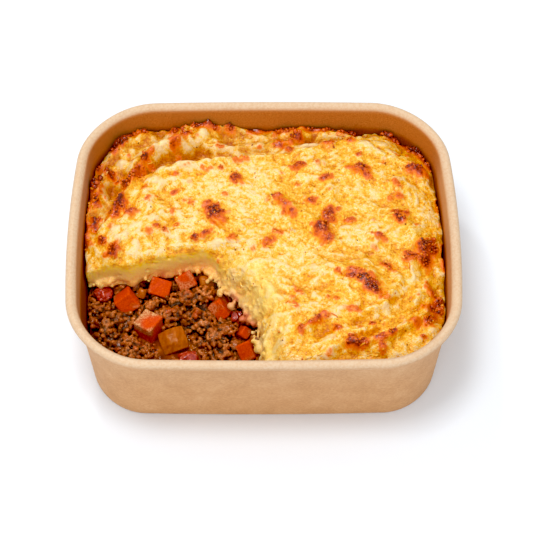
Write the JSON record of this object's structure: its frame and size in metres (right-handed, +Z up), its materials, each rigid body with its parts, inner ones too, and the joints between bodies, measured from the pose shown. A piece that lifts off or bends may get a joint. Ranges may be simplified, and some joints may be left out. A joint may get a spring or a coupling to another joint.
{
  "type": "shepherds pie",
  "caption": "Baked shepherd's pie in a kraft-paper tub, one corner of the browned mash scooped out to show mince, diced carrot, onion and tomato.",
  "frame": {"origin": "centre of the tub's flat base, on the surface it stands on", "axes": "+X along the tub's longer side, +Y to the back, +Z up; the scooped corner is at -X, -Y"},
  "size_m": [0.1718, 0.1448, 0.0529],
  "materials": {
    "kraft_paper": "uncoated light brown kraft paper, matte, with a fine fibre mottle",
    "mashed_potato": "pale yellow baked mashed potato, rough and moist, orange-brown to dark brown on its raised peaks",
    "minced_meat": "cooked brown mince in a glossy orange-brown gravy",
    "carrot": "cooked orange carrot, wet",
    "onion": "translucent amber cooked onion, wet",
    "tomato": "soft red cooked tomato, wet"
  },
  "bodies": {
    "root": {"tub": "kraft_paper", "mash_topping": "mashed_potato", "mince_filling": "minced_meat", "carrot_1": "carrot", "carrot_2": "carrot", "carrot_3": "carrot", "carrot_4": "carrot", "carrot_5": "carrot", "carrot_6": "carrot", "carrot_7": "carrot", "onion_1": "onion", "onion_2": "onion", "onion_3": "onion", "onion_4": "onion", "tomato_1": "tomato", "tomato_2": "tomato", "tomato_3": "tomato"}
  },
  "joints": []
}
